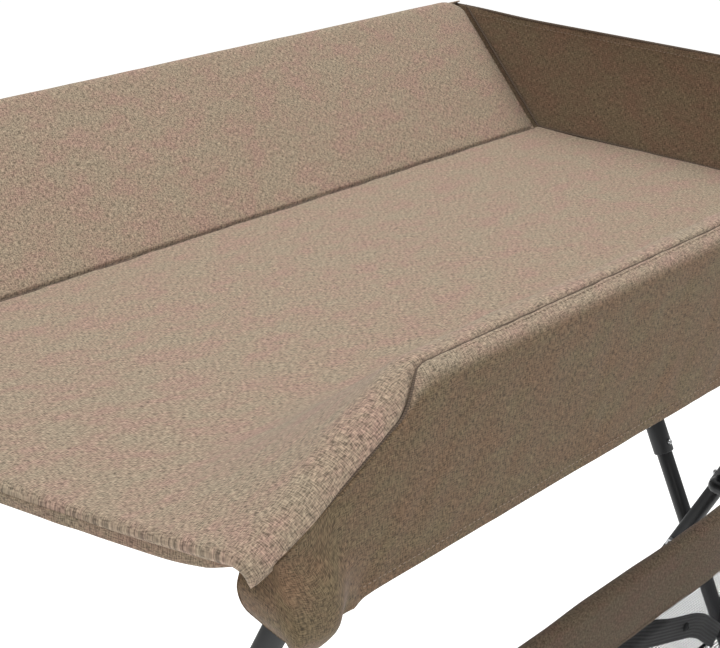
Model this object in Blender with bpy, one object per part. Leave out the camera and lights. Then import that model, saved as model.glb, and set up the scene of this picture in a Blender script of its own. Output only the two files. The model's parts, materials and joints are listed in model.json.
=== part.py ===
"""Folding changing table: padded fabric tray on a crossed-leg tube frame, with a hanging basket.

Metres, +Z up. X runs along the tray, -Y is the side the carer stands at. The origin is on
the floor, under the middle of the object's outline.
"""
import math

import bmesh
import bpy
from mathutils import Matrix, Vector

# Driving dimensions
DECK_Z = 0.850            # height of the padded deck above the floor
FRAME_X = 0.0108          # middle of the legs and basket
FAR_X = 0.3925            # closed end of the tray, from the middle of the legs
DECK_NEAR_X = -0.423      # open end of the deck, of the rear side and of the front side
REAR_NEAR_X = -0.413
FRONT_NEAR_X = -0.395
FOLD_HALF = 0.146         # middle of the deck to each fold line
SIDE_HALF = 0.252         # middle of the deck to each side's top edge
REAR_RISE = 0.116         # rear side above the deck
FRONT_RISE = 0.070        # front side above the deck
RAMP_X = -0.248           # from here the front side falls to the deck at the open end
SKIRT_DROP = 0.045        # hem of the outer fabric below the deck
TRAY_Y = 0.0292           # middle of the tray
FRAME_Y = -0.0456         # pivot of the crossed legs
RAIL_DROP = 0.037         # rail centres below the deck
RAIL_HALF = 0.174         # pivot to each rail, along Y
PIVOT_DROP = 0.385        # pivot below the deck

TUBE_R = 0.008            # 16 mm steel tube
TUBE_WALL = 0.0012
SLEEVE_R = 0.0102
SLEEVE_LENGTH = 0.046
SLEEVE_DROP = 0.308       # lower end of each leg sleeve below the deck
OUTER_LEG_X = 0.388       # legs that carry the rear rail
INNER_LEG_X = 0.364       # legs that carry the front rail
BOLT_R = 0.003
BUTTON_R = 0.0026
BUTTON_TRAVEL = 0.003
GAP = 0.0003              # between touching pieces
CLEARANCE = 0.0004        # round pins and tubes in their holes

PAD_THICK = 0.010
BOARD_THICK = 0.002
CLOTH = 0.0025            # skirts and walls
DECK_THICK = 0.014

RIM_DROP = 0.296          # basket rim tubes below the deck
RIM_R = 0.006
RIM_HALF_X = 0.340
BASKET_REAR = 0.155       # middle of the deck to the basket's rear tube, towards the front
BASKET_FRONT = 0.310      # and to its front tube
BAND_HEIGHT = 0.071
BAND_WIDTH = 0.0165
BASKET_DROP = 0.440       # basket floor below the deck
NET = 0.002
WEBBING = 0.025
CROSSBAR_Z = 0.110

SIDES = 16                # facets round a tube

PIVOT = Vector((0.0, FRAME_Y, DECK_Z - PIVOT_DROP))
RAIL_Z = DECK_Z - RAIL_DROP
LEG_SLOPE = RAIL_HALF / (PIVOT_DROP - RAIL_DROP)
LEG_ANGLE = math.atan(LEG_SLOPE)


def clear_scene():
    for item in list(bpy.data.objects):
        bpy.data.objects.remove(item)


def finish_material(name, colour, roughness, metallic=0.0):
    material = bpy.data.materials.new(name)
    material.use_nodes = True
    shader = material.node_tree.nodes["Principled BSDF"]
    shader.inputs["Base Color"].default_value = (*colour, 1.0)
    shader.inputs["Roughness"].default_value = roughness
    shader.inputs["Metallic"].default_value = metallic
    return material


def make_finishes():
    return {
        "fabric": finish_material("melange_fabric", (0.33, 0.25, 0.19), 0.9),
        "steel": finish_material("black_powder_coat", (0.012, 0.012, 0.014), 0.45),
        "plastic": finish_material("black_nylon", (0.02, 0.02, 0.022), 0.5),
        "zinc": finish_material("zinc_plate", (0.6, 0.6, 0.6), 0.3, 1.0),
        "mesh": finish_material("black_mesh", (0.02, 0.02, 0.02), 0.8),
        "rubber": finish_material("black_rubber", (0.015, 0.015, 0.015), 0.85),
        "board": finish_material("stiffener_board", (0.55, 0.55, 0.52), 0.6),
    }


def tray_y(y):
    return TRAY_Y + y


def tray_z(z):
    return DECK_Z + z


def add_object(name, mesh, finish, carrier, origin):
    """Puts a mesh made in world coordinates on its carrier, with its own origin."""
    mesh.materials.append(FINISHES[finish])
    mesh.transform(Matrix.Translation(-Vector(origin)))
    made = bpy.data.objects.new(name, mesh)
    bpy.context.scene.collection.objects.link(made)
    made.location = Vector(origin) - carrier.location
    made.parent = carrier
    return made


def mesh_from(bm, name):
    bmesh.ops.recalc_face_normals(bm, faces=bm.faces)
    mesh = bpy.data.meshes.new(name)
    bm.to_mesh(mesh)
    bm.free()
    return mesh


def facing(direction):
    """Rotation that turns +Z to a direction, with a facet corner kept in the YZ plane."""
    return Vector(direction).to_track_quat("Z", "X").to_matrix().to_4x4()


def lathe(name, profile, base, direction, sides=SIDES):
    """Turned solid: profile is a closed list of (radius, height) along the direction."""
    bm = bmesh.new()
    rings = []
    for radius, height in profile:
        if radius == 0:
            rings.append([bm.verts.new((0, 0, height))])
            continue
        ring = []
        for step in range(sides):
            turn = 2 * math.pi * (step + 0.5) / sides
            ring.append(bm.verts.new((radius * math.cos(turn), radius * math.sin(turn), height)))
        rings.append(ring)
    count = len(rings)
    for index in range(count):
        low, high = rings[index], rings[(index + 1) % count]
        if len(low) == 1 and len(high) == 1:
            continue
        for step in range(sides):
            following = (step + 1) % sides
            if len(low) == 1:
                bm.faces.new((low[0], high[step], high[following]))
            elif len(high) == 1:
                bm.faces.new((low[step], low[following], high[0]))
            else:
                bm.faces.new((low[step], low[following], high[following], high[step]))
    bm.transform(Matrix.Translation(Vector(base)) @ facing(direction))
    return mesh_from(bm, name)


def tube_profile(outer, inner, length):
    return [(outer, 0), (outer, length), (inner, length), (inner, 0)]


def rod_profile(radius, length, round_end=0.0):
    if not round_end:
        return [(0, 0), (radius, 0), (radius, length), (0, length)]
    return [(0, 0), (radius, 0), (radius, length - round_end),
            (radius - round_end, length), (0, length)]


def loft(name, sections):
    """Closed solid through matching outlines, capped at both ends."""
    bm = bmesh.new()
    rings = [[bm.verts.new(point) for point in section] for section in sections]
    for low, high in zip(rings, rings[1:]):
        for index in range(len(low)):
            after = (index + 1) % len(low)
            bm.faces.new((low[index], low[after], high[after], high[index]))
    bm.faces.new(rings[0])
    bm.faces.new(rings[-1])
    return mesh_from(bm, name)


def prism_x(name, outline, x_low, x_high):
    """Outline of (y, z) points pushed along X."""
    return loft(name, [[(x, y, z) for y, z in outline] for x in (x_low, x_high)])


def prism_y(name, outline, y_low, y_high):
    """Outline of (x, z) points pushed along Y."""
    return loft(name, [[(x, y, z) for x, z in outline] for y in (y_low, y_high)])


def cutter(name, mesh):
    tool = bpy.data.objects.new(name, mesh)
    bpy.context.scene.collection.objects.link(tool)
    tool.hide_render = True
    tool.display_type = "WIRE"
    return tool


def cut(target, tool):
    change = target.modifiers.new("cut_" + tool.name, "BOOLEAN")
    change.operation = "DIFFERENCE"
    change.solver = "EXACT"
    change.object = tool


class Leg:
    """One leg tube line: from its rail at the top, through the pivot, to the floor."""

    def __init__(self, side, x, top_sign):
        self.side = side                      # -1 is the open end, +1 the walled end
        self.x = side * x
        self.top_sign = top_sign              # +1 tops at the rear rail, -1 at the front rail
        self.down = Vector((0, -top_sign * math.sin(LEG_ANGLE), -math.cos(LEG_ANGLE)))
        self.out = Vector((0, -top_sign * math.cos(LEG_ANGLE), math.sin(LEG_ANGLE)))

    def at(self, z):
        return Vector((self.x, FRAME_Y + self.top_sign * (z - PIVOT.z) * LEG_SLOPE, z))


def leg_name(family, piece, side):
    return "%s_%s_%s" % (family, piece, "open_end" if side < 0 else "wall_end")


def make_leg(family, leg, carrier):
    """Upper tube, joining sleeve, lower tube, rivet, snap button, elbow and foot of one leg."""
    side = leg.side
    joint_z = tray_z(-SLEEVE_DROP)
    elbow = leg.at(RAIL_Z)
    elbow_r = 0.0125
    upper_start = elbow + leg.down * (elbow_r + GAP)
    split = leg.at(joint_z) - leg.down * (SLEEVE_LENGTH * 0.5)
    inner = TUBE_R - TUBE_WALL

    length = (split - upper_start).length - GAP
    upper = add_object(leg_name(family, "upper_tube", side),
                       lathe("upper_tube", tube_profile(TUBE_R, inner, length), upper_start, leg.down),
                       "steel", carrier, PIVOT)
    foot_top = leg.at(0.036)
    foot_end = leg.at(0.016)
    length = (foot_end - split).length
    lower = add_object(leg_name(family, "lower_tube", side),
                       lathe("lower_tube", tube_profile(TUBE_R, inner, length), split, leg.down),
                       "steel", carrier, PIVOT)
    sleeve_start = leg.at(joint_z) - leg.down * SLEEVE_LENGTH
    sleeve = add_object(leg_name(family, "sleeve", side),
                        lathe("sleeve", tube_profile(SLEEVE_R, TUBE_R + CLEARANCE, SLEEVE_LENGTH),
                              sleeve_start, leg.down), "plastic", carrier, PIVOT)
    make_elbow(family, leg, elbow, elbow_r, carrier)
    make_foot(family, leg, foot_top, foot_end, carrier)
    make_rivet(family, leg, sleeve_start + leg.down * 0.012, (upper, sleeve), carrier)
    button = make_button(family, leg, leg.at(joint_z) - leg.down * 0.010, (lower, sleeve))
    make_pivot_hole(leg, lower)
    return button


def make_elbow(family, leg, centre, radius, carrier):
    """Moulded corner that the rail and the leg both end at."""
    half = 0.011
    inward = -leg.side
    profile = [(0, 0), (radius - 0.002, 0), (radius, 0.002), (radius, 2 * half - 0.002),
               (radius - 0.002, 2 * half), (0, 2 * half)]
    start = centre - Vector((inward * half, 0, 0))
    add_object(leg_name(family, "elbow", leg.side),
               lathe("elbow", profile, start, (inward, 0, 0)), "plastic", carrier, PIVOT)


def make_foot(family, leg, top, bore_end, carrier):
    """Rubber shoe with a flat sole and a blind bore for the tube."""
    half = 0.0135
    lift = leg.out * half
    front, back = top + lift, top - lift
    run = leg.down / abs(leg.down.z)
    outline = [(front.y, front.z), (back.y, back.z)]
    for point in (back, front):
        sole = point + run * point.z
        outline.append((sole.y, 0.0))
    mesh = prism_x("foot", outline, leg.x - half, leg.x + half)
    foot = add_object(leg_name(family, "foot", leg.side), mesh, "rubber", carrier, PIVOT)
    start = bore_end + leg.down * GAP
    hole = lathe("bore", rod_profile(TUBE_R + CLEARANCE, 0.05), start, -leg.down)
    cut(foot, cutter(leg_name(family, "foot_bore", leg.side), hole))


def make_rivet(family, leg, centre, plates, carrier):
    """Zinc-plated rivet through the sleeve and the upper tube, along X."""
    head, head_high, shank = 0.0036, 0.0016, 0.0019
    reach = SLEEVE_R + GAP
    profile = [(0, -head_high), (head * 0.6, -head_high), (head, -head_high * 0.35), (head, 0),
               (shank, 0), (shank, 2 * reach), (head, 2 * reach),
               (head, 2 * reach + head_high * 0.35), (head * 0.6, 2 * reach + head_high),
               (0, 2 * reach + head_high)]
    start = centre - Vector((reach, 0, 0))
    add_object(leg_name(family, "rivet", leg.side),
               lathe("rivet", profile, start, (1, 0, 0), 12), "zinc", carrier, PIVOT)
    hole = lathe("rivet_hole", rod_profile(shank + CLEARANCE, 0.04),
                 centre - Vector((0.02, 0, 0)), (1, 0, 0), 12)
    tool = cutter(leg_name(family, "rivet_hole", leg.side), hole)
    for plate in plates:
        cut(plate, tool)


def make_button(family, leg, centre, plates):
    """Snap button that stands out of the sleeve and presses in, square to the leg."""
    proud = 0.0022
    flange, flange_high = 0.0034, 0.0012
    inside = TUBE_R - TUBE_WALL - 0.0016
    profile = [(0, inside - flange_high), (flange, inside - flange_high), (flange, inside),
               (BUTTON_R, inside), (BUTTON_R, SLEEVE_R + proud - 0.0009),
               (BUTTON_R * 0.7, SLEEVE_R + proud), (0, SLEEVE_R + proud)]
    spot = centre + leg.out * SLEEVE_R
    holder = bpy.data.objects.new(leg_name(family, "button_axis", leg.side), None)
    bpy.context.scene.collection.objects.link(holder)
    holder.location = spot
    button = add_object(leg_name(family, "button", leg.side),
                        lathe("button", profile, centre, leg.out, 12), "zinc", holder, spot)
    hole = lathe("button_hole", rod_profile(BUTTON_R + CLEARANCE, 0.02), centre, leg.out, 12)
    tool = cutter(leg_name(family, "button_hole", leg.side), hole)
    for plate in plates:
        cut(plate, tool)
    return button


def make_pivot_hole(leg, tube):
    hole = lathe("pivot_hole", rod_profile(BOLT_R + CLEARANCE, 0.04),
                 Vector((leg.x - 0.02, PIVOT.y, PIVOT.z)), (1, 0, 0))
    cut(tube, cutter(tube.name + "_pivot_hole", hole))


def make_pivot(side, carrier):
    """Shoulder bolt, spacer washer and nut that join an outer leg to an inner leg."""
    outward = (side, 0, 0)
    name = "open_end" if side < 0 else "wall_end"
    outer_face = OUTER_LEG_X + TUBE_R
    inner_face = INNER_LEG_X - TUBE_R
    nut_high = 0.005
    tail = inner_face - nut_high - 0.003
    head_r, head_high = 0.0068, 0.0042
    shaft = outer_face + GAP - tail
    profile = [(0, 0), (BOLT_R, 0), (BOLT_R, shaft), (head_r, shaft),
               (head_r, shaft + head_high * 0.4), (head_r * 0.6, shaft + head_high),
               (0, shaft + head_high)]
    start = Vector((side * tail, PIVOT.y, PIVOT.z))
    add_object("pivot_bolt_" + name, lathe("bolt", profile, start, outward), "zinc", carrier, PIVOT)
    hole = BOLT_R + CLEARANCE
    start = Vector((side * (inner_face - GAP - nut_high), PIVOT.y, PIVOT.z))
    hex_hole = hole / math.cos(math.pi / 6)
    add_object("pivot_nut_" + name,
               lathe("nut", tube_profile(0.0062, hex_hole, nut_high), start, outward, 6),
               "zinc", carrier, PIVOT)
    low, high = INNER_LEG_X + TUBE_R + GAP, OUTER_LEG_X - TUBE_R - GAP
    start = Vector((side * low, PIVOT.y, PIVOT.z))
    add_object("pivot_spacer_" + name,
               lathe("spacer", tube_profile(0.0075, hole, high - low), start, outward),
               "plastic", carrier, PIVOT)


def make_rail(name, y, leg_x, carrier):
    """Top tube between two elbows."""
    half = leg_x - 0.011 - GAP
    start = Vector((-half, y, RAIL_Z))
    profile = tube_profile(TUBE_R, TUBE_R - TUBE_WALL, 2 * half)
    add_object(name, lathe("rail", profile, start, (1, 0, 0)), "steel", carrier, PIVOT)


def make_crossbar(name, leg, carrier):
    """Bottom tube between two legs."""
    middle = leg.at(CROSSBAR_Z)
    half = abs(leg.x) - TUBE_R - GAP
    start = Vector((-half, middle.y, middle.z))
    profile = tube_profile(TUBE_R, TUBE_R - TUBE_WALL, 2 * half)
    add_object(name, lathe("crossbar", profile, start, (1, 0, 0)), "steel", carrier, PIVOT)


def side_section(x, sign, rise, drop, thickness):
    """Outline across a side: from the fold line up to the top edge, a slab below its face."""
    fold = Vector((sign * (FOLD_HALF + 0.0008), 0.0))
    edge = Vector((sign * SIDE_HALF, rise))
    along = (edge - fold).normalized()
    under = Vector((along.y, -along.x)) * sign
    top_low, top_high = fold + under * drop, edge + under * drop
    low, high = top_low + under * thickness, top_high + under * thickness
    return [(x, tray_y(p.x), tray_z(p.y)) for p in (top_low, top_high, high, low)]


def side_stations(ramped):
    """X stations of a side, with the rise at each."""
    far = FAR_X - 0.004
    if not ramped:
        return [(REAR_NEAR_X, REAR_RISE), (far, REAR_RISE)]
    flat = 0.006
    return [(FRONT_NEAR_X, flat), (FRONT_NEAR_X + 0.02, flat + 0.006),
            (RAMP_X, FRONT_RISE), (far, FRONT_RISE)]


def make_side(name, sign, ramped, carrier):
    """Padded side and the stiff board behind its full-height part."""
    inset = 0.004
    pad = [side_section(x, sign, rise, 0.0, PAD_THICK) for x, rise in side_stations(ramped)]
    add_object(name + "_pad", loft("pad", pad), "fabric", carrier, PIVOT)
    low, high = side_stations(ramped)[-2:]
    ends = [(low[0] + inset, low[1]), (high[0] - inset, high[1])]
    board = [side_section(x, sign, rise, PAD_THICK + GAP, BOARD_THICK) for x, rise in ends]
    add_object(name + "_board", loft("board", board), "board", carrier, PIVOT)


def make_deck(carrier):
    """Padded deck between the fold lines."""
    half = FOLD_HALF
    outline = [(tray_y(-half), tray_z(-DECK_THICK)), (tray_y(half), tray_z(-DECK_THICK)),
               (tray_y(half), tray_z(0)), (tray_y(-half), tray_z(0))]
    add_object("deck_pad", prism_x("deck", outline, DECK_NEAR_X, FAR_X - 0.004), "fabric", carrier, PIVOT)


def make_skirts(front_carrier, rear_carrier):
    """Outer fabric under each side's top edge."""
    outer = SIDE_HALF + 0.012
    hem = tray_z(-SKIRT_DROP)
    end = FAR_X - 0.0005
    top = tray_z(FRONT_RISE - 0.004)
    outline = [(FRONT_NEAR_X, hem), (end, hem), (end, top), (RAMP_X, top),
               (FRONT_NEAR_X, tray_z(-0.004))]
    front = prism_y("skirt", outline, tray_y(-outer), tray_y(-outer + CLOTH))
    add_object("front_skirt", front, "fabric", front_carrier, PIVOT)
    top = tray_z(REAR_RISE - 0.004)
    outline = [(REAR_NEAR_X, hem), (end, hem), (end, top), (REAR_NEAR_X, top)]
    rear = prism_y("skirt", outline, tray_y(outer - CLOTH), tray_y(outer))
    add_object("rear_skirt", rear, "fabric", rear_carrier, PIVOT)


def make_end_wall(carrier):
    """Fabric wall across the far end, higher at the rear than at the front."""
    inside = SIDE_HALF + 0.009
    top = tray_z(REAR_RISE - 0.012)
    outline = [(tray_y(-inside), tray_z(-DECK_THICK)), (tray_y(inside), tray_z(-DECK_THICK)),
               (tray_y(inside), top), (tray_y(-0.10), top),
               (tray_y(-inside), tray_z(FRONT_RISE + 0.004))]
    wall = prism_x("wall", outline, FAR_X - 0.0035, FAR_X - 0.001)
    add_object("end_wall", wall, "fabric", carrier, PIVOT)


def make_cuff(side, leg, carrier):
    """Fabric cuff that hangs from a front corner, round the top of the leg."""
    start = leg.at(tray_z(-0.050))
    name = "front_cuff_" + ("open_end" if side < 0 else "wall_end")
    profile = tube_profile(0.0145, 0.0110, 0.030)
    add_object(name, lathe("cuff", profile, start, leg.down), "fabric", carrier, PIVOT)


def hoop_path():
    """Centre line of the rim hoop: from one inner leg, round the front, to the other leg."""
    z = tray_z(-RIM_DROP)
    leg_y = Leg(1, INNER_LEG_X, -1).at(z).y
    end_x = INNER_LEG_X - SLEEVE_R - GAP
    half = [Vector((end_x, leg_y, z)), Vector((RIM_HALF_X, leg_y, z)),
            Vector((RIM_HALF_X, tray_y(-BASKET_FRONT), z))]
    other = [Vector((-p.x, p.y, p.z)) for p in reversed(half)]
    return half + other


def rounded(points, radius, steps=5):
    """Polyline with its inner corners turned into arcs (quadratic blends)."""
    result = [points[0]]
    for before, corner, after in zip(points, points[1:], points[2:]):
        room = min(radius, (before - corner).length * 0.49, (after - corner).length * 0.49)
        start = corner + (before - corner).normalized() * room
        stop = corner + (after - corner).normalized() * room
        for step in range(steps + 1):
            t = step / steps
            result.append(start * (1 - t) ** 2 + corner * 2 * t * (1 - t) + stop * t ** 2)
    result.append(points[-1])
    return result


def sweep(name, path, radius, sides=10):
    """Round solid along a path."""
    bm = bmesh.new()
    rings = []
    normal = None
    for index, point in enumerate(path):
        before = path[max(index - 1, 0)]
        after = path[min(index + 1, len(path) - 1)]
        direction = (after - before).normalized()
        if normal is None:
            normal = direction.orthogonal().normalized()
        normal = (normal - direction * normal.dot(direction)).normalized()
        other = direction.cross(normal)
        ring = []
        for step in range(sides):
            turn = 2 * math.pi * step / sides
            ring.append(bm.verts.new(point + (normal * math.cos(turn) + other * math.sin(turn)) * radius))
        rings.append(ring)
    for low, high in zip(rings, rings[1:]):
        for step in range(sides):
            following = (step + 1) % sides
            bm.faces.new((low[step], low[following], high[following], high[step]))
    bm.faces.new(rings[0])
    bm.faces.new(rings[-1])
    return mesh_from(bm, name)


def make_band(name, y, carrier):
    """Fabric band folded over a rim tube."""
    inner = RIM_R + CLEARANCE
    mouth = tray_z(-RIM_DROP) + inner
    top = mouth + BAND_WIDTH / 2 - inner
    low = top - BAND_HEIGHT
    outer = BAND_WIDTH / 2
    outline = [(y - outer, low), (y - inner, low), (y - inner, mouth), (y + inner, mouth),
               (y + inner, low), (y + outer, low), (y + outer, top), (y - outer, top)]
    reach = RIM_HALF_X - 0.024
    add_object(name, prism_x("band", outline, -reach, reach), "fabric", carrier, PIVOT)
    return low


def make_basket(carrier):
    """Open-topped net basket on a tube hoop, in front of the inner legs."""
    add_object("basket_hoop", sweep("hoop", rounded(hoop_path(), 0.022), RIM_R),
               "steel", carrier, PIVOT)
    half = RIM_HALF_X - RIM_R - GAP
    start = Vector((-half, tray_y(-BASKET_REAR), tray_z(-RIM_DROP)))
    profile = tube_profile(RIM_R, RIM_R - 0.001, 2 * half)
    add_object("basket_rear_tube", lathe("tube", profile, start, (1, 0, 0), 10),
               "steel", carrier, PIVOT)
    reach = RIM_HALF_X - 0.024
    floor = tray_z(-BASKET_DROP)
    for name, drop in (("rear", BASKET_REAR), ("front", BASKET_FRONT)):
        y = tray_y(-drop)
        low = make_band("basket_%s_band" % name, y, carrier)
        outline = [(-reach, floor), (reach, floor), (reach, low - GAP), (-reach, low - GAP)]
        add_object("basket_%s_net" % name, prism_y("net", outline, y - NET / 2, y + NET / 2),
                   "mesh", carrier, PIVOT)
    inset = NET / 2 + GAP
    y_low, y_high = tray_y(-BASKET_FRONT) + inset, tray_y(-BASKET_REAR) - inset
    outline = [(-reach, floor), (reach, floor), (reach, floor + NET), (-reach, floor + NET)]
    add_object("basket_floor", prism_y("floor", outline, y_low, y_high), "mesh", carrier, PIVOT)
    inset = BAND_WIDTH / 2 + GAP
    y_low, y_high = tray_y(-BASKET_FRONT) + inset, tray_y(-BASKET_REAR) - inset
    top = tray_z(-RIM_DROP) - 0.012
    foot = floor + NET + GAP
    outline = [(y_low, foot), (y_high, foot), (y_high, top), (y_low, top)]
    for side, end in ((-1, "open_end"), (1, "wall_end")):
        xs = sorted((side * reach, side * (reach - NET)))
        add_object("basket_side_" + end, prism_x("side", outline, *xs), "mesh", carrier, PIVOT)
        make_strap(side, end, low, carrier)


def make_strap(side, end, band_low, carrier):
    """Webbing brace across a rear corner of the net, from the band down to the floor."""
    back = tray_y(-BASKET_REAR) - NET / 2 - GAP
    low_z = tray_z(-BASKET_DROP) + NET + 0.003
    right = RIM_HALF_X - 0.028
    run = 0.105
    lean = (band_low - GAP - low_z - WEBBING) / run
    outline = [(side * right, low_z), (side * right, low_z + WEBBING),
               (side * (right - run), low_z + WEBBING + lean * run),
               (side * (right - run), low_z + lean * run)]
    add_object("basket_strap_" + end, prism_y("strap", outline, back - 0.0014, back),
               "mesh", carrier, PIVOT)


def carrier_at(name, place):
    empty = bpy.data.objects.new(name, None)
    bpy.context.scene.collection.objects.link(empty)
    empty.location = place
    return empty


def build():
    rear = carrier_at("rear_rail_frame", PIVOT)
    front = carrier_at("front_rail_frame", PIVOT)
    rear_y, front_y = FRAME_Y + RAIL_HALF, FRAME_Y - RAIL_HALF
    for side in (-1, 1):
        make_leg("outer_leg", Leg(side, OUTER_LEG_X, 1), rear)
        inner = Leg(side, INNER_LEG_X, -1)
        make_leg("inner_leg", inner, front)
        make_pivot(side, rear)
        make_cuff(side, inner, front)
    make_rail("rear_rail", rear_y, OUTER_LEG_X, rear)
    make_rail("front_rail", front_y, INNER_LEG_X, front)
    make_crossbar("front_crossbar", Leg(1, OUTER_LEG_X, 1), rear)
    make_crossbar("rear_crossbar", Leg(1, INNER_LEG_X, -1), front)
    make_deck(rear)
    make_side("rear_side", 1, False, rear)
    make_side("front_side", -1, True, front)
    make_skirts(front, rear)
    make_end_wall(rear)
    make_basket(front)
    for item in bpy.data.objects:
        if item.parent is None:
            item.location.x += FRAME_X
        if item.type == "MESH" and not item.hide_render:
            item.data.shade_smooth()
            item.data.set_sharp_from_angle(angle=math.radians(40))


clear_scene()
FINISHES = make_finishes()
build()
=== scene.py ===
import json
import math

import bmesh
import bpy
import numpy as np
from mathutils import Matrix, Vector


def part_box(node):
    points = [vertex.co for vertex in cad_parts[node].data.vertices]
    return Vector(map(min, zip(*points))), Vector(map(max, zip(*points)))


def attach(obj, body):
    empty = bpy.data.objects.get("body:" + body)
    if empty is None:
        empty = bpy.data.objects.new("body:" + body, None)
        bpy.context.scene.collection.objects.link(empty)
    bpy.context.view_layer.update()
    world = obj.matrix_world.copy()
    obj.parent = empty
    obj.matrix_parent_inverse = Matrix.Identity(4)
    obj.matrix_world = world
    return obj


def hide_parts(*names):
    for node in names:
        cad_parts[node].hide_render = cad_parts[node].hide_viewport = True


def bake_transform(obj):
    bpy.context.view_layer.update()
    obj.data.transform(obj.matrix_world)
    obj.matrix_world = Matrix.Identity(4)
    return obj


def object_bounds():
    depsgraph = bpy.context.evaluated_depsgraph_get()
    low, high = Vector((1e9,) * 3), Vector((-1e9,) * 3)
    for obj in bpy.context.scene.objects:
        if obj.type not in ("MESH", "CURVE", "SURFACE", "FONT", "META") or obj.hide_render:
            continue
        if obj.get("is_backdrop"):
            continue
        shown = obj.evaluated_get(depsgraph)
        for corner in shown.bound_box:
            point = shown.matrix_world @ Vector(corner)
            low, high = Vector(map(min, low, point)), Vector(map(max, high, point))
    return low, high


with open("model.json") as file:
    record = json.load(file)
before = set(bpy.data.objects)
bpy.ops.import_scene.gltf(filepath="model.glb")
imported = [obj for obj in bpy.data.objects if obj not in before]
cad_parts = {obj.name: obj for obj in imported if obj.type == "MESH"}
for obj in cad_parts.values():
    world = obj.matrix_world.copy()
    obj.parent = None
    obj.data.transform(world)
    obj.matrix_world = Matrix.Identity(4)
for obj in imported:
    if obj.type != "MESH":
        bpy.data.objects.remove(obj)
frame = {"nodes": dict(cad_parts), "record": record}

REAR, FRONT = "rear_rail_frame", "front_rail_frame"
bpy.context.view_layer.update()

# Sizes of the tray, from the frame. Tray places are x, y from the middle of the deck, and z from
# the deck's top.
deck_low, deck_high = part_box("deck_pad")
MID_Y = (deck_low.y + deck_high.y) / 2
DECK = deck_high.z
FOLD = (deck_high.y - deck_low.y) / 2
NEAR, FAR = deck_low.x, deck_high.x
FRONT_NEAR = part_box("front_side_pad")[0].x
FRAME_X = (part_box("rear_rail")[0].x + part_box("rear_rail")[1].x) / 2
REAR_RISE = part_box("rear_side_pad")[1].z - DECK
FRONT_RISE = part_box("front_side_pad")[1].z - DECK
SKIRT_Y = MID_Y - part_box("front_skirt")[0].y - 0.0012
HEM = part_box("front_skirt")[0].z - DECK - 0.0015
SIDE_Y = SKIRT_Y - 0.0108       # top edge of the rear side
RAMP_RUN = 0.147                # the front side falls to the deck over this length
RAMP_TOP = FRONT_NEAR + RAMP_RUN
PAD = 0.010                     # padding thickness
CLOTH = 0.0016
EDGE = 0.0008                   # rounded border of a single cloth
HEM_FOLD = 0.0075               # from the hem's edge up to its stitches
CROWN_R = 0.0185                # rolled top of the front side
CROWN_Y = -0.236
POCKET_X = FRONT_NEAR + 0.036         # where the leg enters the corner pocket
OPEN, WALL = "open_end", "wall_end"


# ---------------------------------------------------------------- camera

def place_camera(offset, heading, pitch, roll, lens):
    data = bpy.data.cameras.new("camera")
    data.lens = lens
    data.sensor_width = 36
    camera = bpy.data.objects.new("camera", data)
    bpy.context.scene.collection.objects.link(camera)
    sight = Vector((math.cos(heading) * math.cos(pitch), math.sin(heading) * math.cos(pitch),
                    -math.sin(pitch)))
    right = sight.cross(Vector((0, 0, 1))).normalized()
    up = right.cross(sight)
    turned_right = right * math.cos(roll) + up * math.sin(roll)
    turned_up = up * math.cos(roll) - right * math.sin(roll)
    place = Matrix((turned_right, turned_up, -sight)).transposed().to_4x4()
    place.translation = Vector((0, MID_Y, DECK)) + offset
    camera.matrix_world = place
    bpy.context.scene.camera = camera


place_camera(Vector((-0.8532, -0.754, 0.431)), 0.739, 0.403, 0.012, 77.5)


# ---------------------------------------------------------------- materials

def linear(code):
    """Linear RGBA of an sRGB hex colour."""
    values = [int(code[i:i + 2], 16) / 255 for i in (1, 3, 5)]
    return [v / 12.92 if v <= 0.04045 else ((v + 0.055) / 1.055) ** 2.4 for v in values] + [1.0]


def node(tree, kind, settings=None, inputs=None, links=None):
    """Adds a node; inputs and links are by socket name or index."""
    item = tree.nodes.new(kind)
    for key, value in (settings or {}).items():
        setattr(item, key, value)
    for key, value in (inputs or {}).items():
        item.inputs[key].default_value = value
    for key, socket in (links or {}).items():
        tree.links.new(socket, item.inputs[key])
    return item


def new_material(name):
    material = bpy.data.materials.new(name)
    material.use_nodes = True
    tree = material.node_tree
    return material, tree, tree.nodes["Principled BSDF"]


def set_ramp(item, stops):
    ramp = item.color_ramp
    while len(ramp.elements) < len(stops):
        ramp.elements.new(0.5)
    for element, (place, colour) in zip(ramp.elements, stops):
        element.position = place
        element.color = linear(colour) if isinstance(colour, str) else [colour] * 3 + [1]


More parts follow.
